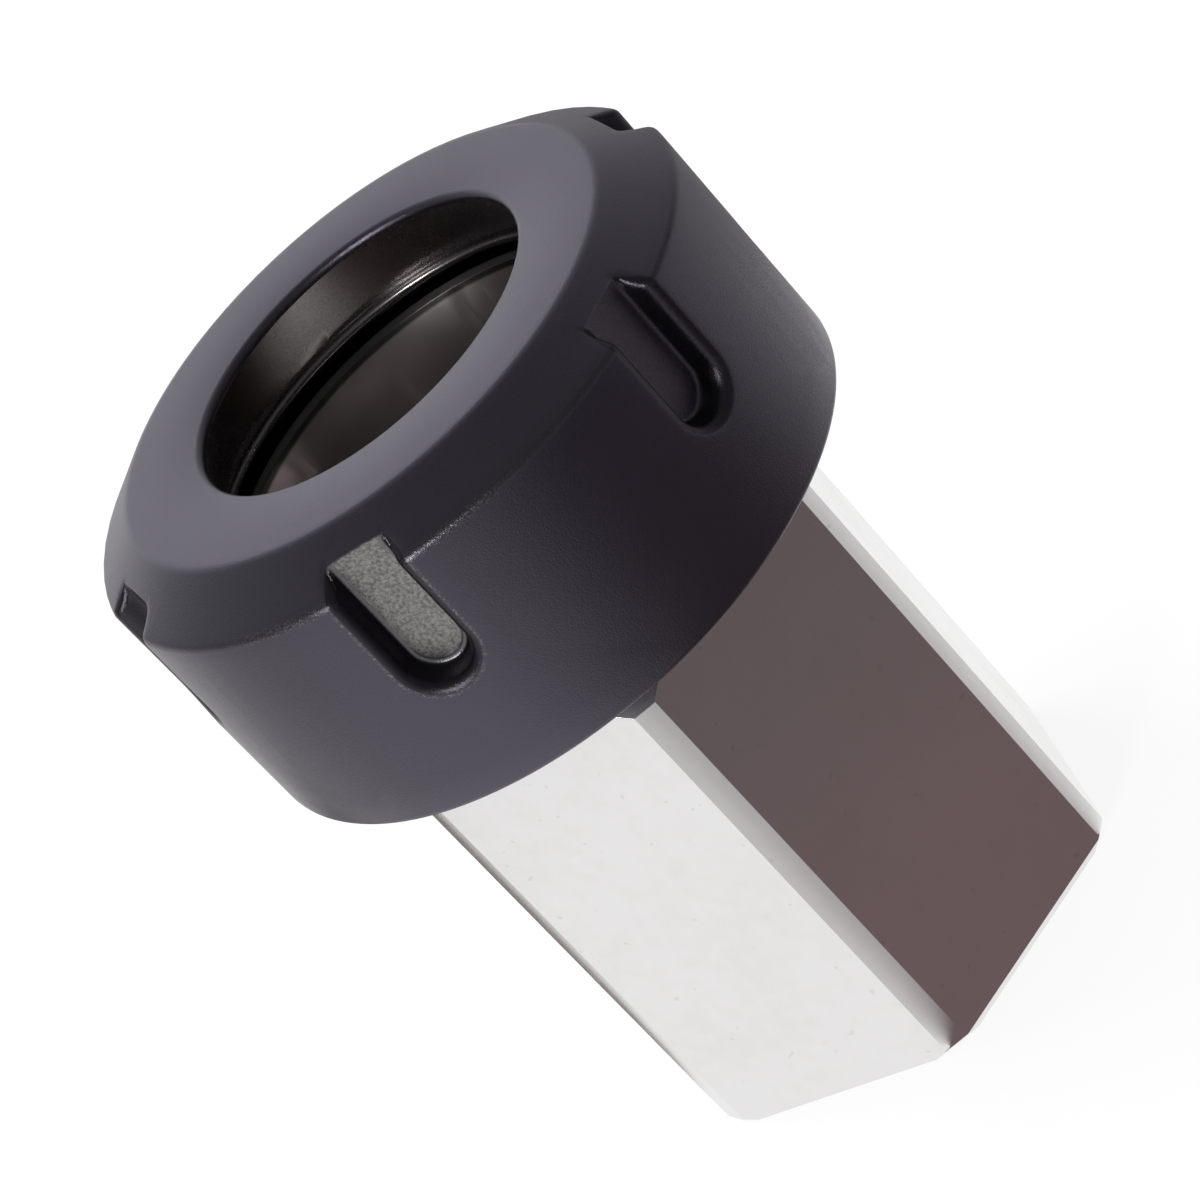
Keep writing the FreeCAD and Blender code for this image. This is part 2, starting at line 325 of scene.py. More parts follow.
@dataclass(frozen=True)
class GroundSteel:
    """Bare hardened steel: flats ground lengthways, ends faced, socket ground inside, with a
    painted shade on the ring at the socket's mouth under the nut.

    Radii, heights and depths are in millimetres, and scales in features per millimetre. Fields
    that end in _levels are noise values between which a mark appears, and those that end in
    _roughness are added to the roughness.
    """

    colour: Colour = (0.8, 0.79, 0.79)
    tarnish: Colour = (0.7, 0.685, 0.665)
    tarnish_share: float = 0.34
    tarnish_levels: Span = (0.42, 0.75)
    pit_colour: Colour = (0.35, 0.32, 0.3)
    pit_share: float = 0.16
    pit_levels: Span = (0.72, 0.78)
    socket_colour: Colour = (0.5, 0.45, 0.45)
    # Painted shade for the ring at the socket's mouth, under the nut.
    mouth_painted_shade: Colour = (0.09, 0.085, 0.083)
    roughness: float = 0.2
    mottle_roughness: float = 0.08
    cloud_roughness: float = 0.06
    socket_roughness: float = 0.1
    cloud_scale: float = 0.09
    mottle_scale: float = 0.7
    pit_scale: float = 1.3
    grain_scale: float = 9.0
    grain_scale_lengthways: float = 0.25
    grain_strength: float = 0.25
    grain_depth: float = 0.004
    socket_radii: Span = (17.1, 16.95)
    # Radii and heights of the ring at the socket's mouth that gets the painted shade.
    rim_radii: Span = (16.2, 16.35)
    mouth_shade_heights: Span = (54.0, 54.3)
    flat_radii: Span = (17.3, 17.6)
    flat_top: Span = (39.2, 38.9)
    flat_bottom: Span = (0.05, 0.2)

    def build(self) -> bpy.types.Material:
        """Make the material.

        Returns:
            The material.
        """
        material, graph = new_material("ground_steel")
        point, x, y, z = graph.place()
        radius = hypotenuse(x, y)
        inside = radius.rise(*self.socket_radii)
        # Ring at the socket's mouth under the nut, where shade is painted.
        rim = radius.rise(*self.rim_radii) * z.rise(*self.mouth_shade_heights)
        clouds = graph.noise(point, self.cloud_scale, detail=4.0)
        mottle = graph.noise(point, self.mottle_scale)
        pits = graph.noise(point, self.pit_scale, detail=1.0, rough=0.5).rise(*self.pit_levels)
        stain = (clouds * 0.75 + mottle * 0.35).rise(*self.tarnish_levels)
        colour = graph.mix(stain * self.tarnish_share, self.colour, self.tarnish)
        colour = graph.mix(pits * self.pit_share, colour, self.pit_colour)
        colour = graph.mix(inside, colour, self.socket_colour)
        # Painted shade: darkens the ring at the socket's mouth, under the nut.
        colour = graph.mix(rim, colour, self.mouth_painted_shade)
        rough = self.roughness + (mottle - 0.5) * self.mottle_roughness
        rough = rough + (clouds - 0.5) * self.cloud_roughness + inside * self.socket_roughness
        grain = self._grain(graph, point, z, radius, inside)
        normal = graph.bump(grain, self.grain_strength, self.grain_depth * MM)
        graph.metal(colour, rough, normal)
        return material

    def _grain(self, graph: Graph, point: Flow, z: Flow, radius: Flow, inside: Flow) -> Flow:
        """Height of the grinding marks: lengthways on the flats, in rings on what is turned.

        Args:
            graph: The material's graph.
            point: The point on the object.
            z: Its height.
            radius: Its distance from the axis.
            inside: 1 in the socket, 0 outside.

        Returns:
            The height, from 0 to 1.
        """
        scales = (self.grain_scale, self.grain_scale, self.grain_scale_lengthways)
        lines = graph.noise(graph.stretched(point, scales), 1.0)
        turned = graph.joined(radius * self.grain_scale, 0.0, z * self.grain_scale)
        rings = graph.noise(turned, 1.0, detail=2.0)
        heights = z.rise(*self.flat_top) * z.rise(*self.flat_bottom)
        on_flat = (1 - inside) * radius.rise(*self.flat_radii) * heights
        return lines * on_flat + rings * (1 - on_flat)


@dataclass(frozen=True)
class BlackOxide:
    """Satin black oxide over blasted steel, rubbed thin on sharp edges and smoother where turned,
    with a painted highlight on one slot's floor and edges.

    Radii, heights and distances are in millimetres, and scales in features per millimetre.
    Fields that end in _place or _places are distances outside the outline of a slot's floor, and
    negative on the floor. edge_wear_elsewhere and milled_share_elsewhere say what share of the
    bright edge colour and of the floor's machined tone the other slots get; the nut's lit_slot
    gets them in full, as a painted highlight on top of rubbed edges.
    """

    colour: Colour = (0.102, 0.094, 0.118)
    clouded: Colour = (0.12, 0.111, 0.136)
    clouded_share: float = 0.5
    # Bright steel on the edges: rubbed oxide everywhere, strongest near one slot as a painted
    # highlight.
    bare_and_glint: Colour = (0.42, 0.42, 0.4)
    bare_and_glint_share: float = 0.5
    turned: Colour = (0.25, 0.232, 0.235)
    shaded: Colour = (0.055, 0.05, 0.06)
    shaded_wall_share: float = 0.9
    shaded_crease_share: float = 0.85
    # Machined slot-floor tone; shown in full on one slot only, as a painted highlight.
    milled_dark: Colour = (0.16, 0.157, 0.155)
    milled_light: Colour = (0.37, 0.362, 0.35)
    milled_border: Colour = (0.2, 0.196, 0.2)
    roughness: float = 0.33
    cloud_roughness: float = 0.08
    grain_roughness: float = 0.1
    turned_roughness: float = -0.06
    grain_scale: float = 8.0
    grain_strength: float = 0.9
    grain_depth: float = 0.03
    cloud_scale: float = 0.12
    speckle_scale: float = 7.0
    speckle_levels: Span = (0.5, 0.66)
    frost_scale: float = 4.2
    frost_levels: Span = (0.32, 0.68)
    # Where the painted highlight on one slot's floor and edges fades out, as a cosine of the angle
    # from it.
    lit_slot_cosines: Span = (0.86, 0.95)
    edge_wear_elsewhere: float = 0.15
    milled_share_elsewhere: float = 0.1
    floor_reach: float = 0.12
    floor_places: Span = (0.06, -0.02)
    wall_depths: Span = (0.015, 0.06)
    wall_spread: float = 0.5
    wall_margin: float = 0.15
    wall_blur: float = 0.07
    wall_reach: float = 1.05
    wall_radii: Span = (21.5, 22.0)
    mouth_radii: Span = (19.4, 19.2)
    mouth_depths: Span = (0.5, 0.7)
    edge_height: float = 60.15
    edge_reach: float = 0.55
    edge_radii: Span = (24.3, 24.7)
    rim_place: float = 1.12
    rim_reach: float = 0.2
    rim_radii: Span = (24.8, 24.95)
    border_places: Span = (-0.5, -0.32)
    crease_place: float = -0.4
    crease_reach: float = 0.11
    crease_heights: Span = (53.6, 52.8)

    def build(self, nut: "ClampingNut") -> bpy.types.Material:
        """Make the material.

        Args:
            nut: The nut, whose sizes place the slot floors and edges.

        Returns:
            The material.
        """
        material, graph = new_material("black_oxide_steel")
        point, x, y, z = graph.place()
        radius = hypotenuse(x, y)
        away, out = self._slot(x, y, z, radius, nut)
        floor = out.band(nut.slot_floor, self.floor_reach).rise(0.0, 0.5)
        floor = floor * away.rise(*self.floor_places)
        wall = self._wall(z, radius, away, nut) * (1 - floor)
        # 1 near the slot that gets the painted highlight on its floor and edges.
        toward_lit_slot = self._toward(x, y, radius, nut).rise(*self.lit_slot_cosines)
        nearest, deepest = self.mouth_depths
        inside = radius.rise(*self.mouth_radii) * z.rise(nut.top - nearest, nut.top - deepest)
        grain = graph.noise(point, self.grain_scale, detail=2.0)
        clouds = graph.noise(point, self.cloud_scale)
        edge = z.band(self.edge_height, self.edge_reach) * radius.rise(*self.edge_radii)
        rim = away.band(self.rim_place, self.rim_reach) * radius.rise(*self.rim_radii)
        speckle = graph.noise(point, self.speckle_scale, detail=2.0, rough=0.7)
        # Bright edges: rubbed oxide everywhere, plus a painted highlight near one slot.
        wear_and_highlight = self.edge_wear_elsewhere + toward_lit_slot * (1 - self.edge_wear_elsewhere)
        worn_and_glinting = edge.more(rim) * speckle.rise(*self.speckle_levels) * wear_and_highlight
        colour = graph.mix(clouds * self.clouded_share, self.colour, self.clouded)
        colour = graph.mix(worn_and_glinting * self.bare_and_glint_share, colour, self.bare_and_glint)
        colour = graph.mix(wall * self.shaded_wall_share, colour, self.shaded)
        # Slot floors: machined tone in full on one slot as a painted highlight, mostly oxide on
        # the rest.
        wear_and_highlight = self.milled_share_elsewhere + toward_lit_slot * (1 - self.milled_share_elsewhere)
        slot_floor_tone = graph.mix(wear_and_highlight, self.clouded, self._slot_floor_tone(graph, point, z, away))
        colour = graph.mix(floor, colour, slot_floor_tone)
        colour = graph.mix(inside, colour, self.turned)
        rough = self.roughness + (clouds - 0.5) * self.cloud_roughness
        rough = rough + (grain - 0.5) * self.grain_roughness + inside * self.turned_roughness
        height = grain * (1 - inside * 0.95)
        normal = graph.bump(height, self.grain_strength, self.grain_depth * MM)
        graph.metal(colour, rough, normal)
        return material

    def _wall(self, z: Flow, radius: Flow, away: Flow, nut: "ClampingNut") -> Flow:
        """The slots' side walls, which reach further out where the slot is deeper.

        Args:
            z: Point's height.
            radius: Its distance from the axis.
            away: Its distance outside the slot floor's outline.
            nut: The nut, whose sizes place the skin that the slots are sunk in.

        Returns:
            1 on the walls, 0 elsewhere.
        """
        slope = (nut.radius - nut.face_radius) / nut.nose_drop
        skin = nut.radius - ((z - (nut.top - nut.nose_drop)) * slope).more(0.0)
        reach = (skin - nut.slot_floor) * self.wall_spread + self.wall_margin
        within = (reach.less(self.wall_reach) - away).rise(-self.wall_blur, self.wall_blur)
        return (skin - radius).rise(*self.wall_depths) * within * radius.rise(*self.wall_radii)

    def _slot_floor_tone(self, graph: Graph, point: Flow, z: Flow, away: Flow) -> Flow:
        """Colour of a slot's machined floor, with a darker band along its outline and a shaded
        crease near its round end.

        Args:
            graph: The material's graph.
            point: The point on the object.
            z: Its height.
            away: Its distance outside the slot floor's outline.

        Returns:
            The colour.
        """
        frosted = graph.noise(point, self.frost_scale, rough=0.7).rise(*self.frost_levels)
        slot_floor_tone = graph.mix(frosted, self.milled_dark, self.milled_light)
        slot_floor_tone = graph.mix(away.rise(*self.border_places), slot_floor_tone, self.milled_border)
        crease = away.band(self.crease_place, self.crease_reach) * z.rise(*self.crease_heights)
        return graph.mix(crease * self.shaded_crease_share, slot_floor_tone, self.shaded)

    @staticmethod
    def _toward(x: Flow, y: Flow, radius: Flow, nut: "ClampingNut") -> Flow:
        """Cosine of the angle between a point and the slot that gets the painted highlight on its
        floor and edges.
        """
        azimuth = math.radians(nut.turned + nut.lit_slot * 360.0 / nut.slot_count)
        return (x * math.cos(azimuth) + y * math.sin(azimuth)) / radius

    @staticmethod
    def _slot(
        x: Flow, y: Flow, z: Flow, radius: Flow, nut: "ClampingNut"
    ) -> tuple[Flow, Flow]:
        """Where a point lies in the nearest spanner slot.

        Args:
            x: Point's x.
            y: Point's y.
            z: Point's z.
            radius: Its distance from the axis.
            nut: The nut, whose sizes place the slots.

        Returns:
            Distance outside the slot's floor outline, negative within it, and the distance from
            the axis measured square to the slot's floor.
        """
        pitch = 360.0 / nut.slot_count
        # Two whole turns keep the angle positive, as MODULO needs.
        angle = y.call("ARCTAN2", x) * (180 / math.pi) - nut.turned + 720.0 + pitch / 2
        folded = (angle.call("MODULO", pitch) - pitch / 2) * (math.pi / 180)
        across = abs(radius * folded.call("SINE"))
        out = radius * folded.call("COSINE")
        drop = (nut.slot_centre - z).more(0.0)
        away = hypotenuse(across, drop) - nut.slot_half_width
        return away, out


@dataclass
class HexBlock:
    """The ground hexagonal block: the solid's own surface, joined and given fine broken edges."""

    node: str = "hex_block"
    body: str = "block"
    slot: str = "ground_steel"
    join_within: float = 1e-7
    flat_within: float = math.radians(0.2)
    smooth_below: float = math.radians(20.0)
    broken_edge: float = 0.08
    edge_segments: int = 2

    def build(self) -> bpy.types.Object:
        """Make the block's piece.

        Returns:
            The piece.
        """
        shape = bmesh.new()
        shape.from_mesh(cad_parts[self.node].data)
        bmesh.ops.remove_doubles(shape, verts=shape.verts, dist=self.join_within)
        bmesh.ops.dissolve_limit(
            shape, angle_limit=self.flat_within, verts=shape.verts, edges=shape.edges
        )
        block = finish_shape("ground_block", shape, self.smooth_below)
        edges = block.modifiers.new("broken_edges", "BEVEL")
        edges.width = self.broken_edge * MM
        edges.segments = self.edge_segments
        edges.limit_method = "ANGLE"
        edges.angle_limit = self.smooth_below
        edges.harden_normals = True
        dress(block, GroundSteel().build(), self.body, self.node)
        return block


@dataclass(frozen=True)
class Ring:
    """One line of the nut's outer skin that runs down, round and up again beside a spanner slot.

    Attributes:
        away: Distance from the slot's middle line, in millimetres.
        drop: How far it lies below the nut's skin.
        cap: Greatest distance from the axis that it may have.
        spread: 0 beside the slot, up to 1 on the border with the next slot's share of the skin.
    """

    away: float
    drop: float = 0.0
    cap: float = math.inf
    spread: float = 0.0


@dataclass
class ClampingNut:
    """The black nut: a turned ring with rounded edges and six rounded spanner slots, in mm.

    Fields that end in _radii, _heights, _lines or _spreads say where the skin's grid has its
    lines, and those that end in _steps how many parts a round is made of.

    Attributes:
        turned: Degrees that the nut is turned once it is made.
        lit_slot: Number of the slot whose floor and edges get a painted highlight.
        slot_floor: Distance of the slot floors from the axis.
        full_depth: Depth from which a slot's rim has its whole round.
        reach: Distance from a slot's middle line up to which the grid's lines follow the slot.
        corner_steps: Parts of the grid down each side border of a slot's share of the skin.
        bottom_steps: Parts of the grid along its rear border.
        wall_height: Height above the floor of one more line on the slot's wall.
        lip_flattened: Share of its round that the lip's rear side keeps.
        lip_way: Azimuth towards which the lip is shifted.
        lip_margin: Extra reach that picks out the lip's points.
        thread_sunk: How deep the thread's ridge stands in the bore's wall.
    """

    node: str = "clamping_nut"
    body: str = "nut"
    slot: str = "black_oxide_steel"
    turned: float = 13.4
    smooth_below: float = math.radians(30.0)
    join_within: float = 1e-4

    # Turned outside.
    radius: float = 24.995
    rear: float = 41.4
    top: float = 63.199
    face_radius: float = 20.5
    nose_drop: float = 3.0
    side_round: float = 0.8
    side_steps: int = 5
    face_round: float = 1.2
    face_steps: int = 4
    rear_round: float = 0.5
    rear_steps: int = 4
    face_radii: tuple[float, ...] = (18.5, 19.4)
    cone_radii: tuple[float, ...] = (21.5, 22.2, FLOOR_EDGE, 23.3, 24.0)
    side_heights: tuple[float, ...] = (58.6, 57.3, 56.0, 54.6)

    # Spanner slots.
    slot_count: int = 6
    # Slot whose floor and edges get a painted highlight.
    lit_slot: int = 4
    slot_centre: float = 53.1
    slot_half_width: float = 2.2
    slot_floor: float = 22.7
    slot_flare: float = math.radians(10.0)
    slot_corner: float = 0.35
    slot_corner_steps: int = 3
    slot_rim_round: float = 1.0
    slot_rim_steps: int = 7
    full_depth: float = 1.3
    reach: float = 4.6
    corner_steps: int = 6
    bottom_steps: int = 28
    floor_lines: tuple[float, ...] = (0.0, 0.7, 1.3, 1.7)
    wall_height: float = 0.8
    outer_lines: tuple[float, ...] = (3.8, 4.2)
    border_spreads: tuple[float, ...] = (0.2, 0.45, 0.7, 1.0)

    # Mouth, seat, lip, relief and bore, from the front to the rear.
    mouth_radius: float = 13.7
    mouth_round: float = 0.5
    mouth_steps: int = 4
    mouth_length: float = 0.72
    seat_width: float = 3.15
    seat_length: float = 5.45
    seat_steps: int = 4
    lip_radius: float = 16.25
    lip_height: float = 56.52
    lip_round: float = 0.42
    lip_flattened: float = 0.8
    lip_steps: int = 8
    lip_offset: float = 0.35
    lip_way: float = math.radians(150.0)
    lip_margin: float = 0.01
    shoulder_radius: float = 18.2
    shoulder_height: float = 56.2
    relief_radius: float = 20.25
    relief_rear: float = 54.6
    root_radius: float = 20.15
    root_front: float = 54.45
    root_rear: float = 41.85
    rear_bore_radius: float = 20.56

    # Inner thread.
    thread_pitch: float = 1.5
    thread_crest: float = 19.56
    thread_crest_half: float = 0.14
    thread_root_half: float = 0.62
    thread_sunk: float = 0.05
    thread_start: float = 0.95
    thread_turns: float = 7.6
    thread_steps: int = 96

    def build(self) -> bpy.types.Object:
        """Make the nut's piece.

        Returns:
            The piece.
        """
        shape = bmesh.new()
        self._skin(shape)
        self._bore(shape)
        self._face(shape)
        bmesh.ops.remove_doubles(shape, verts=shape.verts, dist=self.join_within)
        bmesh.ops.recalc_face_normals(shape, faces=shape.faces)
        self._thread(shape)
        turn = Matrix.Rotation(math.radians(self.turned), 3, "Z")
        bmesh.ops.rotate(shape, cent=(0, 0, 0), matrix=turn, verts=shape.verts)
        bmesh.ops.scale(shape, vec=(MM, MM, MM), verts=shape.verts)
        nut = finish_shape("slotted_nut", shape, self.smooth_below)
        dress(nut, BlackOxide().build(self), self.body, self.node)
        return nut

    def _cone_height(self, radius: float) -> float:
        """Height of the nose cone at a radius."""
        slope = self.nose_drop / (self.radius - self.face_radius)
        return self.top - self.nose_drop + (self.radius - radius) * slope

    def _stations(self) -> list[tuple[float, float]]:
        """Outline of the skin, from the face down to the slot's round end.

        Returns:
            Radius and height of each point; a radius of FLOOR_EDGE is for `_side_place` to fill.
        """
        lean = math.atan2(self.nose_drop, self.radius - self.face_radius)
        inner = self.face_radius - self.face_round * math.tan(lean / 2)
        points = [(radius, self.top) for radius in self.face_radii]
        for tilt in spaced(0.0, lean, self.face_steps):
            radius = inner + self.face_round * math.sin(tilt)
            points.append((radius, self.top - self.face_round * (1 - math.cos(tilt))))
        points += [(radius, self._cone_height(radius)) for radius in self.cone_radii]
        side = self.side_round * math.tan((math.pi / 2 - lean) / 2)
        start = self.top - self.nose_drop - side
        for tilt in spaced(lean, math.pi / 2, self.side_steps):
            radius = self.radius - self.side_round * (1 - math.sin(tilt))
            points.append((radius, start + self.side_round * math.cos(tilt)))
        points += [(self.radius, height) for height in self.side_heights]
        return points

    def _rings(self) -> list[Ring]:
        """The skin's lines beside a slot.

        Returns:
            The lines, from the slot's middle line outwards.
        """
        half, floor, flare = self.slot_half_width, self.slot_floor, self.slot_flare
        corner, soft = self.slot_corner, self.slot_rim_round
        turn = math.pi / 2 - flare
        deep = soft * (1 - math.cos(turn))
        rings = [Ring(away, deep, floor) for away in self.floor_lines]
        start = half - corner * math.tan(turn / 2)
        for tilt in spaced(0.0, turn, self.slot_corner_steps):
            cap = floor + corner * (1 - math.cos(tilt))
            rings.append(Ring(start + corner * math.sin(tilt), deep, cap))
        wall = self.wall_height
        rings.append(Ring(half + wall * math.tan(flare), deep, floor + wall))
        edge = math.sqrt(self.radius**2 - half * half)
        wall_top = half + (edge - deep - floor) * math.tan(flare)
        outer = wall_top + soft * math.sin(turn)
        for tilt in spaced(turn, 0.0, self.slot_rim_steps):
            rings.append(Ring(outer - soft * math.sin(tilt), soft * (1 - math.cos(tilt))))
        rings += [Ring(away) for away in (*self.outer_lines, self.reach)]
        rings += [Ring(self.reach, spread=spread) for spread in self.border_spreads]
        return rings

    def _arc_place(self, ring: Ring, step: int) -> Vector:
        """A point of the skin on the round end of a ring.

        Args:
            ring: The ring.
            step: Number of the point, from the left end of the arc to its right end.

        Returns:
            The point.
        """
        half_share = math.pi / self.slot_count
        height = self.slot_centre - (self.rear + self.rear_round)
        corner = math.atan2(half_share * self.radius, height)
        last = 2 * self.corner_steps + self.bottom_steps
        from_end = min(step, last - step)
        side = -1.0 if step < last / 2 else 1.0
        if from_end <= self.corner_steps:
            part = from_end / self.corner_steps
            angle = side * (math.pi / 2 + (corner - math.pi / 2) * part)
            border = (side * half_share, self.slot_centre - height * part)
        else:
            part = 2 * (step - self.corner_steps) / self.bottom_steps - 1
            angle = corner * part
            border = (half_share * part, self.slot_centre - height)
        across = ring.away * math.sin(angle)
        level = self.slot_centre - ring.away * math.cos(angle)
        if ring.spread > 0:
            azimuth = math.asin(across / self.radius)
            azimuth += (border[0] - azimuth) * ring.spread
            level += (border[1] - level) * ring.spread
            return self._on_axis_angle(self.radius, azimuth, level)
        return self._sunk(ring, self.radius, across, level)

    def _side_place(self, ring: Ring, radius: float, level: float, side: float) -> Vector:
        """A point of the skin on one straight side of a ring.

        Args:
            ring: The ring.
            radius: The skin's radius there, or FLOOR_EDGE.
            level: Height.
            side: -1 for the left side, 1 for the right.

        Returns:
            The point.
        """
        if radius == FLOOR_EDGE:
            radius = math.hypot(self.slot_floor, min(ring.away, self.slot_half_width))
            level = self._cone_height(radius)
        if ring.spread > 0:
            azimuth = math.asin(ring.away / radius)
            azimuth += (math.pi / self.slot_count - azimuth) * ring.spread
            return self._on_axis_angle(radius, side * azimuth, level)
        return self._sunk(ring, radius, side * ring.away, level)

    def _sunk(self, ring: Ring, radius: float, across: float, level: float) -> Vector:
        """A point of the skin, let down by the slot.

        Args:
            ring: The ring that it is on.
            radius: The skin's radius there.
            across: Distance to the right of the slot's middle line.
            level: Height.

        Returns:
            The point.
        """
        skin = math.sqrt(radius * radius - across * across)
        lowered = skin
        if ring.drop > 0:
            depth = math.sqrt(radius * radius - self.slot_half_width**2) - self.slot_floor
            drop = ring.drop * min(1.0, max(0.0, depth / self.full_depth))
            lowered = min(skin, max(self.slot_floor, min(ring.cap, skin - drop)))
        return Vector((lowered, across, level))

    @staticmethod
    def _on_axis_angle(radius: float, azimuth: float, level: float) -> Vector:
        """A point from its radius, azimuth and height."""
        return Vector((radius * math.cos(azimuth), radius * math.sin(azimuth), level))

    def _skin(self, shape: bmesh.types.BMesh) -> None:
        """Lay a grid over one slot's share of the skin, bend it round the slot and repeat it.

        Args:
            shape: The nut's mesh so far.
        """
        stations, rings = self._stations(), self._rings()
        straight = len(stations)
        arc = 2 * self.corner_steps + self.bottom_steps
        along, across = 2 * straight + arc, len(rings) - 1
        grid = bmesh.ops.create_grid(shape, x_segments=along, y_segments=across, size=1.0)
        for vertex in grid["verts"]:
            step = round((vertex.co.x + 1) / 2 * along)
            ring = rings[round((vertex.co.y + 1) / 2 * across)]
            if step < straight:
                vertex.co = self._side_place(ring, *stations[step], side=-1.0)
            elif step > straight + arc:
                vertex.co = self._side_place(ring, *stations[along - step], side=1.0)
            else:
                vertex.co = self._arc_place(ring, step - straight)
        bmesh.ops.spin(
            shape,
            geom=shape.verts[:] + shape.edges[:] + shape.faces[:],
            cent=(0, 0, 0),
            axis=(0, 0, 1),
            angle=2 * math.pi / self.slot_count * (self.slot_count - 1),
            steps=self.slot_count - 1,
            use_duplicate=True,
        )

    def _bore(self, shape: bmesh.types.BMesh) -> None:
        """Turn the mouth, seat, lip, bore and rear face, and shift the lip to one side.

        Args:
            shape: The nut's mesh so far.
        """
        start = Matrix.Rotation(math.pi / self.slot_count, 3, "Z")
        outline = self._bore_outline()
        verts = [shape.verts.new(start @ Vector((radius, 0, level))) for radius, level in outline]
        edges = [shape.edges.new(pair) for pair in zip(verts, verts[1:])]
        bmesh.ops.spin(
            shape,
            geom=verts + edges,
            cent=(0, 0, 0),
            axis=(0, 0, 1),
            angle=2 * math.pi,
            steps=self.slot_count * self.bottom_steps,
            use_merge=True,
        )
        reach = self.lip_round + self.lip_margin
        moved = [
            vertex
            for vertex in shape.verts
            if abs(vertex.co.z - self.lip_height) < reach
            and vertex.co.xy.length < self.lip_radius + reach
        ]
        shift = Vector((math.cos(self.lip_way), math.sin(self.lip_way), 0)) * self.lip_offset
        bmesh.ops.translate(shape, vec=shift, verts=moved)

    def _bore_outline(self) -> list[tuple[float, float]]:
        """Outline of everything inside and behind the skin.

        Returns:
            Radius and height of each point, from the mouth round to the skin's lower edge.
        """
        mouth, soft = self.mouth_radius, self.mouth_round
        points = []
        for tilt in spaced(0.0, math.pi / 2, self.mouth_steps):
            radius = mouth + soft * (1 - math.sin(tilt))
            points.append((radius, self.top - soft * (1 - math.cos(tilt))))
        seat = self.top - self.mouth_length
        for part in spaced(0.0, 1.0, self.seat_steps):
            points.append((mouth + self.seat_width * part, seat - self.seat_length * part))
        soft = self.lip_round
        for tilt in spaced(0.0, math.pi, self.lip_steps):
            rise = soft * math.cos(tilt) * (1.0 if tilt < math.pi / 2 else self.lip_flattened)
            points.append((self.lip_radius + soft * (1 - math.sin(tilt)), self.lip_height + rise))
        points += [
            (self.shoulder_radius, self.shoulder_height),
            (self.relief_radius, self.shoulder_height),
            (self.relief_radius, self.relief_rear),
            (self.root_radius, self.root_front),
            (self.root_radius, self.root_rear),
            (self.rear_bore_radius, self.rear),
        ]
        soft = self.rear_round
        for tilt in spaced(0.0, math.pi / 2, self.rear_steps):
            radius = self.radius - soft * (1 - math.sin(tilt))
            points.append((radius, self.rear + soft * (1 - math.cos(tilt))))
        return points

    def _face(self, shape: bmesh.types.BMesh) -> None:
        """Fill the flat front face between the skin and the mouth.

        Args:
            shape: The nut's mesh so far.
        """
        bmesh.ops.remove_doubles(shape, verts=shape.verts, dist=self.join_within)
        level = self.top - self.join_within
        open_edges = [
            edge
            for edge in shape.edges
            if edge.is_boundary and all(vertex.co.z > level for vertex in edge.verts)
        ]
        bmesh.ops.triangle_fill(shape, use_beauty=True, use_dissolve=False, edges=open_edges)

    def _thread(self, shape: bmesh.types.BMesh) -> None:
        """Wind the inner thread as one ridge that stands in the bore's wall.

        Args:
            shape: The nut's mesh so far.
        """
        root, crest = self.root_radius + self.thread_sunk, self.thread_crest
        wide, slim = self.thread_root_half, self.thread_crest_half
        level = self.rear + self.thread_start
        outline = [(root, -wide), (crest, -slim), (crest, slim), (root, wide)]
        verts = [shape.verts.new((radius, 0, level + rise)) for radius, rise in outline]
        start = shape.faces.new(verts)
        bmesh.ops.spin(
            shape,
            geom=verts + start.edges[:] + [start],
            cent=(0, 0, 0),
            axis=(0, 0, 1),
            dvec=(0, 0, self.thread_pitch / self.thread_steps),
            angle=2 * math.pi * self.thread_turns,
            steps=round(self.thread_steps * self.thread_turns),
        )


def finish_shape(name: str, shape: bmesh.types.BMesh, smooth_below: float) -> bpy.types.Object:
    """Turn a bmesh into a linked object with smooth shading and sharp edges kept.

    Args:
        name: Name of the piece.
        shape: Its shape, which is freed.
        smooth_below: Faces that meet at a smaller angle, in radians, are shaded smoothly.

    Returns:
        The object.
    """
    mesh = bpy.data.meshes.new(name)
    shape.to_mesh(mesh)
    shape.free()
    mesh.shade_smooth()
    mesh.set_sharp_from_angle(angle=smooth_below)
    return linked(name, mesh)


def linked(name: str, data: bpy.types.ID) -> bpy.types.Object:
    """A new object with the given data, in the scene.

    Args:
        name: Its name.
        data: Its mesh, camera or lamp.

    Returns:
        The object.
    """
    made = bpy.data.objects.new(name, data)
    bpy.context.scene.collection.objects.link(made)
    return made


def dress(
    piece: bpy.types.Object, material: bpy.types.Material, body: str, node: str
) -> None:
    """Give a piece its material and its place in the frame.

    Args:
        piece: The piece.
        material: Its material.
        body: The body that it rides on.
        node: The CAD node that it stands for.
    """
    piece.data.materials.clear()
    piece.data.materials.append(material)
    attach(piece, body)
    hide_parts(node)


@dataclass(frozen=True)
class Lamp:
    """A soft square area lamp.

    Attributes:
        name: Its name.
        place: Where it stands, in metres.
        size: Its side, in metres.
        power: Its power, in watts.
        mirrored: Whether glossy surfaces show it.
    """

    name: str
    place: tuple[float, float, float]
    size: float
    power: float
    mirrored: bool = True

    def build(self, aim: Vector) -> None:
        """Hang the lamp.

        Args:
            aim: The point that it looks at.
        """
        data = bpy.data.lights.new(self.name, "AREA")
        data.size = self.size
        data.energy = self.power
        lamp = linked(self.name, data)
        lamp.rotation_euler = (aim - Vector(self.place)).to_track_quat("-Z", "Y").to_euler()
        lamp.location = self.place
        lamp.visible_glossy = self.mirrored


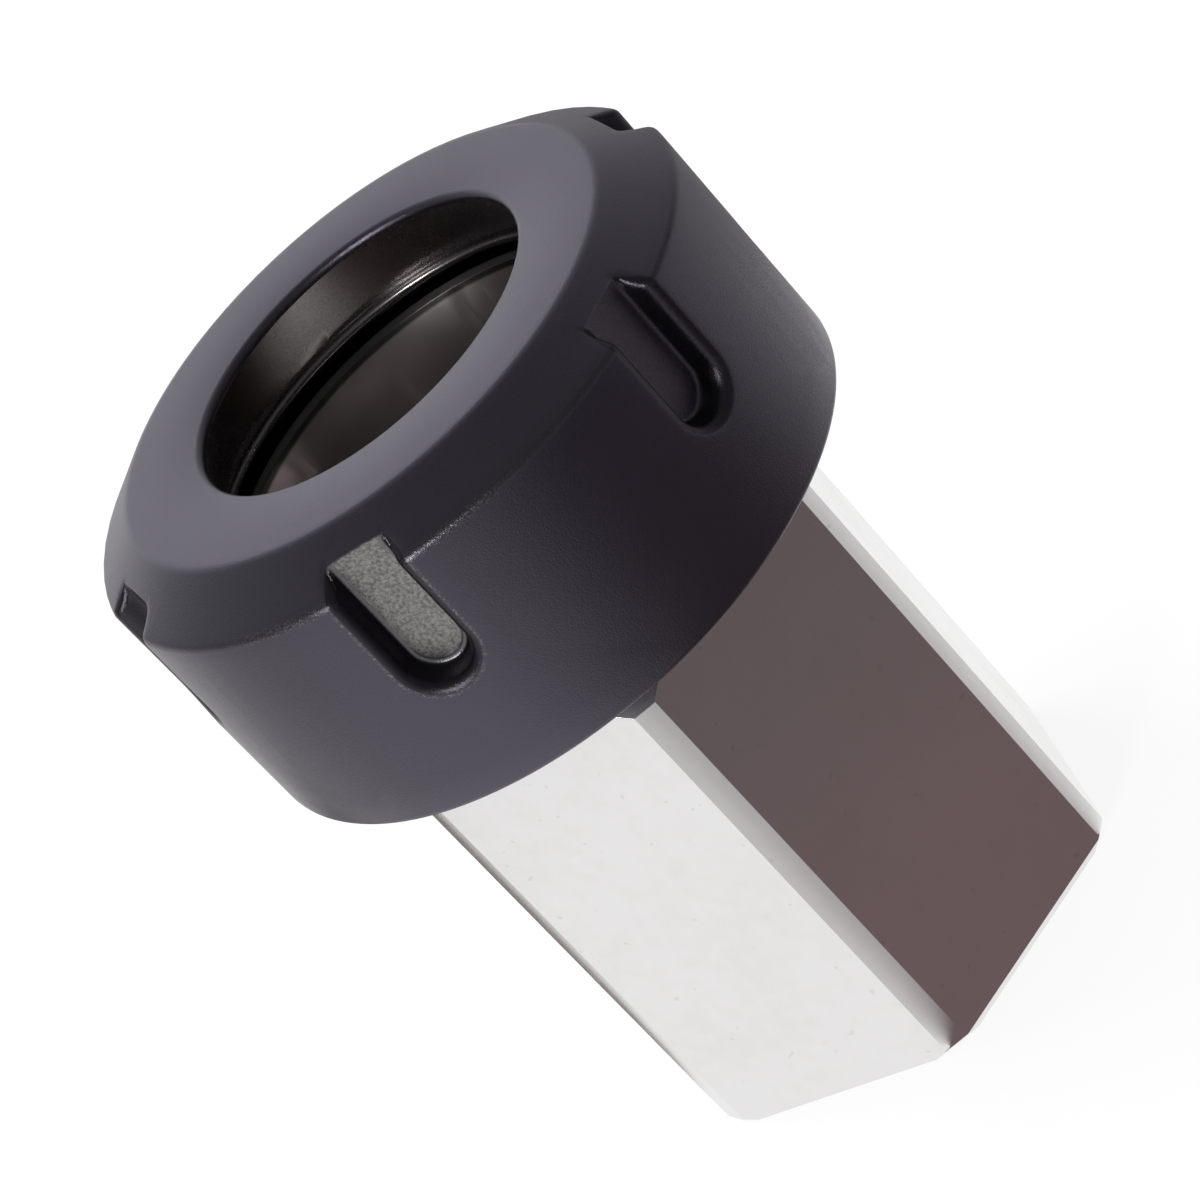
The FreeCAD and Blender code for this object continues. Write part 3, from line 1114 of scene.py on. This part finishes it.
@dataclass
class Studio:
    """Floor, dark card, sky, lamps and camera.

    Lengths are in metres, but the card's pattern is laid out in millimetres and degrees.

    Attributes:
        floor_whitened: Share of plain white in the floor that the camera sees.
        mirrored_way: Azimuth in which the dark flat mirrors the floor.
        flat_right: Lower right corner of the dark flat, where the card's right border starts.
        flat_left: Lower left corner of the dark flat, where the card's left border starts.
        right_bearings: Bearings from mirrored_way over which the right border fades.
        left_bearings: The same for the left border.
        far_levels: Azimuth in degrees, and how dense the card is there far from the block.
        window_azimuth: Azimuth of the bright part of the sky.
        sky_levels: Cosine of the angle from the window, and the sky's brightness there.
    """

    floor_reach: float = 2.0
    floor_height: float = -0.00002
    floor_colour: Colour = (0.9, 0.9, 0.9)
    floor_whitened: float = 0.85

    card_reach: float = 0.9
    card_height: float = 0.0004
    card_colour: Colour = (0.133, 0.106, 0.109)
    card_far_colour: Colour = (0.118, 0.1, 0.124)
    card_near_colour: Colour = (0.163, 0.116, 0.119)
    mirrored_way: float = math.radians(-36.0)
    flat_right: tuple[float, float] = (16.8, -10.4)
    flat_left: tuple[float, float] = (-0.5, -20.0)
    right_bearings: Span = (100.0, 12.0)
    left_bearings: Span = (-104.0, -20.0)
    far_radii: Span = (85.0, 110.0)
    near_tint_radii: Span = (30.0, 80.0)
    far_tint_radii: Span = (88.0, 108.0)
    far_levels: tuple[tuple[float, float], ...] = (
        (-180.0, 0.5),
        (-160.0, 0.35),
        (-130.0, 0.3),
        (-98.0, 0.6),
        (-67.0, 1.0),
        (-30.0, 1.0),
        (-5.0, 0.8),
        (26.0, 0.6),
        (56.0, 0.72),
        (88.0, 0.85),
        (112.0, 0.3),
        (138.0, 0.0),
        (180.0, 0.5),
    )

    window_azimuth: float = math.radians(105.0)
    window_rise: float = math.radians(12.0)
    sky_blue: float = 1.03
    sky_plain: Colour = (0.9, 0.9, 0.9)
    sky_levels: tuple[tuple[float, float], ...] = (
        (0.0, 0.12),
        (0.2, 0.14),
        (0.5, 0.33),
        (0.8, 0.46),
        (0.9, 0.58),
        (0.94, 0.95),
        (0.965, 1.12),
        (1.0, 1.25),
    )

    lamps: tuple[Lamp, ...] = (
        Lamp("overhead", (-0.25, 0.25, 0.45), size=0.35, power=2.0, mirrored=False),
        Lamp("low_left", (-0.33, -0.438, 0.287), size=0.12, power=1.2),
    )
    lamp_aim: tuple[float, float, float] = (0.0, 0.0, 0.03)

    camera_place: tuple[float, float, float] = (0.0404418, -0.3001310, 0.1985957)
    camera_right: tuple[float, float, float] = (0.7696257, -0.2219680, -0.5986705)
    camera_up: tuple[float, float, float] = (0.6276997, 0.4347211, 0.6457638)
    camera_lens: float = 145.428
    camera_sensor: float = 36.0
    camera_nearest: float = 0.01

    def build(self) -> None:
        """Set everything up."""
        self.make_camera()
        self.make_floor()
        self.make_card()
        self.make_sky()
        for lamp in self.lamps:
            lamp.build(Vector(self.lamp_aim))

    def make_camera(self) -> None:
        """Place the camera at the photograph's viewing angle."""
        data = bpy.data.cameras.new("camera")
        data.sensor_width = self.camera_sensor
        data.lens = self.camera_lens
        data.clip_start = self.camera_nearest
        camera = linked("camera", data)
        right = Vector(self.camera_right).normalized()
        back = right.cross(Vector(self.camera_up)).normalized()
        turned = Matrix((right, back.cross(right), back)).transposed().to_4x4()
        turned.translation = Vector(self.camera_place)
        camera.matrix_world = turned
        bpy.context.scene.camera = camera

    def _sheet(self, name: str, reach: float, height: float) -> bpy.types.Object:
        """A level square sheet of the stage.

        Args:
            name: Its name.
            reach: Half its side.
            height: How high it lies.

        Returns:
            The sheet.
        """
        mesh = bpy.data.meshes.new(name)
        shape = bmesh.new()
        bmesh.ops.create_grid(shape, x_segments=1, y_segments=1, size=reach)
        bmesh.ops.translate(shape, vec=(0, 0, height), verts=shape.verts)
        shape.to_mesh(mesh)
        shape.free()
        sheet = linked(name, mesh)
        return sheet

    def make_floor(self) -> None:
        """A pale floor that stays white in the picture and keeps a soft shadow."""
        floor = self._sheet("floor", self.floor_reach, self.floor_height)
        material, graph = new_material("pale_floor")
        mirrored = graph.ray("Is Glossy Ray").more(graph.ray("Is Transmission Ray"))
        share = (graph.ray("Is Camera Ray") * self.floor_whitened).more(mirrored)
        paper = graph.add("ShaderNodeBsdfDiffuse", inputs={"Color": (*self.floor_colour, 1.0)})
        white = graph.shine((1.0, 1.0, 1.0, 1.0))
        surface = graph.add("ShaderNodeMixShader", inputs={0: share, 1: paper, 2: white})
        graph.close(Output.SURFACE, surface)
        floor.data.materials.append(material)

    def make_card(self) -> None:
        """A dark card with soft edges that lies round the block and shows only in reflections."""
        card = self._sheet("dark_card", self.card_reach, self.card_height)
        card.visible_camera = card.visible_diffuse = False
        card.visible_shadow = card.visible_transmission = False
        material, graph = new_material("dark_card")
        _, x, y, _ = graph.place()
        radius = hypotenuse(x, y)
        from_right = self._bearing(x - self.flat_right[0], y - self.flat_right[1])
        from_left = self._bearing(x - self.flat_left[0], y - self.flat_left[1])
        near = from_right.rise(*self.right_bearings) * from_left.rise(*self.left_bearings)
        shade = near.mixed(self._far_shade(graph, x, y), radius.rise(*self.far_radii))
        tint = radius.rise(*self.near_tint_radii)
        tint = graph.mix(tint, self.card_near_colour, self.card_colour)
        tint = graph.mix(radius.rise(*self.far_tint_radii), tint, self.card_far_colour)
        clear = graph.add("ShaderNodeBsdfTransparent")
        inputs = {0: shade, 1: clear, 2: graph.shine(tint)}
        graph.close(Output.SURFACE, graph.add("ShaderNodeMixShader", inputs=inputs))
        card.data.materials.append(material)

    def _far_shade(self, graph: Graph, x: Flow, y: Flow) -> Flow:
        """How dense the card is far from the block, by azimuth.

        Args:
            graph: The card material's graph.
            x: Point's x.
            y: Point's y.

        Returns:
            0 where the card is clear, up to 1 where it is dense.
        """
        azimuth = y.call("ARCTAN2", x) * (1 / (2 * math.pi)) + 0.5
        stops = [(degrees / 360 + 0.5, (level,) * 3) for degrees, level in self.far_levels]
        return graph.add("ShaderNodeValToRGB", {"stops": stops}, {0: azimuth})

    def _bearing(self, x: Flow, y: Flow) -> Flow:
        """Degrees from the way in which the dark flat mirrors the floor, from -180 to 180."""
        cos, sin = math.cos(self.mirrored_way), math.sin(self.mirrored_way)
        return (y * cos - x * sin).call("ARCTAN2", x * cos + y * sin) * (180 / math.pi)

    def make_sky(self) -> None:
        """White in the picture, bright behind the block in reflections, plain for soft light."""
        world = bpy.data.worlds.new("studio")
        world.use_nodes = True
        graph = Graph(world.node_tree)
        way = graph.add("ShaderNodeTexCoord", output="Generated")
        azimuth, level = self.window_azimuth, math.cos(self.window_rise)
        window = (level * math.cos(azimuth), level * math.sin(azimuth), math.sin(self.window_rise))
        inputs = {0: way, 1: window}
        facing = graph.add("ShaderNodeVectorMath", {"operation": "DOT_PRODUCT"}, inputs, "Value")
        stops = [(place, (grey, grey, grey * self.sky_blue)) for place, grey in self.sky_levels]
        ramp = graph.add("ShaderNodeValToRGB", {"stops": stops}, {0: facing})
        colour = graph.mix(graph.ray("Is Glossy Ray"), self.sky_plain, ramp)
        clear = graph.ray("Is Camera Ray").more(graph.ray("Is Transmission Ray"))
        colour = graph.mix(clear, colour, (1.0, 1.0, 1.0))
        background = graph.add("ShaderNodeBackground", inputs={"Color": colour, "Strength": 1.0})
        graph.close(Output.WORLD, background)
        bpy.context.scene.world = world


def main() -> None:
    """Dress the block and nut and set up the studio."""
    logging.basicConfig(level=logging.INFO, format="%(name)s: %(message)s")
    bpy.context.scene.view_settings.view_transform = "Standard"
    for maker in (HexBlock(), ClampingNut()):
        piece = maker.build()
        log.info("%s: %d faces, stands for %s", piece.name, len(piece.data.polygons), maker.node)
    Studio().build()
    log.info("studio ready")


if __name__ == "__main__":
    main()
